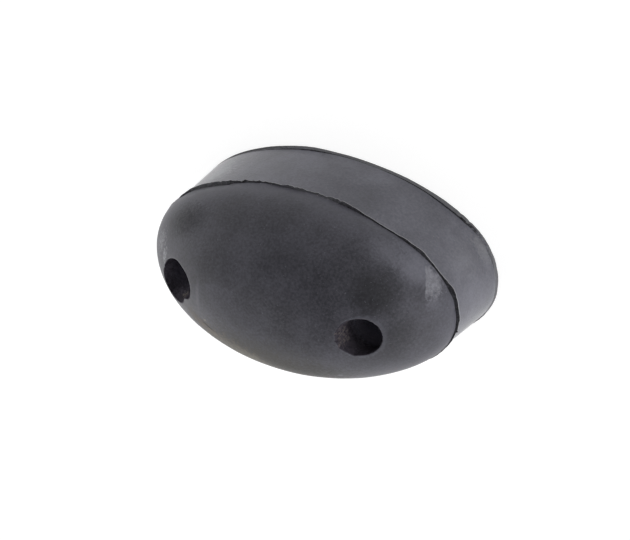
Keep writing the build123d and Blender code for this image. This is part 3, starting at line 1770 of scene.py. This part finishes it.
FINISHES = {
    Zone.DOME: DOME_FINISH,
    Zone.WALL: WALL_FINISH,
    Zone.BORE: BORE_FINISH,
    Zone.TORN: TORN_AND_SHADED_FINISH,
    Zone.LIP: LIP_FINISH,
}


# ---------------------------------------------------------------------------------------------
# The stage


@dataclass(frozen=True)
class SideLight:
    """A broad soft light low at one side.

    Args:
        side: the level direction that it comes from.
        strength: how bright it is at its middle.
        power: how quickly it falls off to its sides.
    """

    side: tuple[float, float]
    strength: float
    power: float


@dataclass(frozen=True)
class Studio:
    """The pale floor, the soft light and the camera.

    Args:
        azimuth: how far the camera stands to the right of the dome's axis, in degrees.
        elevation: how far it stands towards +Y, in degrees.
        roll: how far it is turned about its own axis, in degrees.
        distance: from the point that it looks at, in metres.
        slide: how far it is moved to its right and up, in metres.
        lens: its focal length, in millimetres.
        floor_size: the floor's width, in metres.
        floor_drop: how far the floor lies under the back, in metres.
        floor_tone: the floor's tone as the rubber is lit by it.
        seen_tone: its tone as the camera and reflections see it.
        seen_glow: its own light as the camera sees it.
        gloss_glow: its own light in reflections.
        top_light: the strength of the light from above.
        low_light: what the light low all round adds.
        low_heights: how far up that light begins to fade and where it ends, from 0 to 1.
        side_lights: the lights low at the sides.
    """

    azimuth: float = 28.0
    elevation: float = 29.95
    roll: float = 2.3
    distance: float = 0.432
    slide: tuple[float, float] = (0.0035, 0.00163)
    lens: float = 86.66
    floor_size: float = 6.0
    floor_drop: float = 0.0001
    floor_tone: Colour = (0.8, 0.8, 0.8, 1)
    seen_tone: Colour = (0.35, 0.35, 0.35, 1)
    seen_glow: float = 0.8
    gloss_glow: float = 1.0
    top_light: float = 0.22
    low_light: float = 0.06
    low_heights: tuple[float, float] = (0.3, 0.8)
    side_lights: tuple[SideLight, ...] = (
        SideLight((1.0, 0.0), 3.2, 2.0),
        SideLight((-1.0, 0.0), 2.3, 2.0),
        SideLight((-0.707, -0.707), 3.1, 3.0),
        SideLight((0.707, -0.707), 2.0, 3.0),
    )

    def floor(self) -> bpy.types.Object:
        """Lays the floor that the back rests on.

        Returns:
            The floor.
        """
        bpy.ops.mesh.primitive_plane_add(size=self.floor_size, location=(0, 0, -self.floor_drop))
        floor = bpy.context.object
        floor.name = "floor"
        made = bpy.data.materials.new("pale_floor")
        made.use_nodes = True
        graph = Graph(made.node_tree)
        rays = graph.node("ShaderNodeLightPath").outputs
        gloss = graph.math("MAXIMUM", rays["Is Glossy Ray"], rays["Is Transmission Ray"])
        seen = graph.math("MAXIMUM", rays["Is Camera Ray"], gloss)
        tone = graph.mix(seen, self.floor_tone, self.seen_tone)
        lit = graph.node("ShaderNodeBsdfDiffuse", {"Color": tone})
        strength = graph.math("MULTIPLY", rays["Is Camera Ray"], self.seen_glow)
        strength = graph.math("MAXIMUM", strength, graph.math("MULTIPLY", gloss, self.gloss_glow))
        glow = graph.node("ShaderNodeEmission", {"Strength": strength})
        both = graph.node("ShaderNodeAddShader", {0: lit.outputs[0], 1: glow.outputs[0]})
        graph.node("ShaderNodeOutputMaterial", {"Surface": both.outputs[0]})
        floor.data.materials.append(made)
        return floor

    def world(self) -> None:
        """Sets the soft light of a tent, dim overhead and brightest low at its sides.

        The camera itself sees the tent white.
        """
        world = bpy.data.worlds.new("tent")
        bpy.context.scene.world = world
        world.use_nodes = True
        graph = Graph(world.node_tree)
        towards = graph.node("ShaderNodeTexCoord").outputs["Generated"]
        parts = graph.node("ShaderNodeSeparateXYZ", {"Vector": towards}).outputs
        low = graph.math("SUBTRACT", 1.0, graph.fade(parts["Z"], *self.low_heights))
        sides = self.low_light
        for light in self.side_lights:
            across = graph.math("MULTIPLY", parts["X"], light.side[0])
            along = graph.math("MULTIPLY", parts["Y"], light.side[1])
            facing = graph.math("MAXIMUM", graph.math("ADD", across, along), 0.0)
            shape = graph.math("POWER", facing, light.power)
            sides = graph.math("ADD", graph.math("MULTIPLY", shape, light.strength), sides)
        lit = graph.math("ADD", graph.math("MULTIPLY", low, sides), self.top_light)
        seen = graph.node("ShaderNodeLightPath").outputs["Is Camera Ray"]
        short_of_white = graph.math("SUBTRACT", 1.0, lit)
        strength = graph.math("ADD", lit, graph.math("MULTIPLY", short_of_white, seen))
        glow = graph.node("ShaderNodeBackground", {"Color": (1, 1, 1, 1), "Strength": strength})
        graph.node("ShaderNodeOutputWorld", {"Surface": glow.outputs[0]})

    def camera(self, aim: Vector) -> None:
        """Sets the camera.

        Args:
            aim: the middle of the seam's oval, in metres.
        """
        azimuth, elevation = math.radians(self.azimuth), math.radians(self.elevation)
        level = math.cos(elevation)
        back = Vector((level * math.sin(azimuth), math.sin(elevation), level * math.cos(azimuth)))
        side = Vector((0, 1, 0)).cross(back).normalized()
        up = back.cross(side)
        roll = math.radians(self.roll)
        right = side * math.cos(roll) + up * math.sin(roll)
        top = up * math.cos(roll) - side * math.sin(roll)
        data = bpy.data.cameras.new("camera")
        data.lens = self.lens
        camera = bpy.data.objects.new("camera", data)
        bpy.context.collection.objects.link(camera)
        turned = Matrix((right, top, back)).transposed()
        eye = aim + back * self.distance + right * self.slide[0] + top * self.slide[1]
        camera.matrix_world = Matrix.Translation(eye) @ turned.to_4x4()
        bpy.context.scene.camera = camera


def main() -> None:
    """Builds the buffer over its frame and sets the stage."""
    logging.basicConfig(level=logging.INFO, format="%(name)s: %(message)s")
    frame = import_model()
    bpy.ops.object.select_all(action="DESELECT")
    form = Form.of_frame(frame["record"], "buffer_body")
    body = MouldedBuffer(form).build()
    groups = Groups(mottle_group(), grain_group(), mark_group())
    for zone in Zone:
        body.data.materials.append(FINISHES[zone].material(groups))
    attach(body, "root")
    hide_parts("buffer_body")
    log.info("%s: %d vertices, %d faces", body.name, len(body.data.vertices), len(body.data.polygons))
    studio = Studio()
    studio.floor()
    studio.world()
    studio.camera(Vector((0, 0, form.wall_height * MM)))
    bpy.context.scene.view_settings.view_transform = "Standard"


if __name__ == "__main__":
    main()
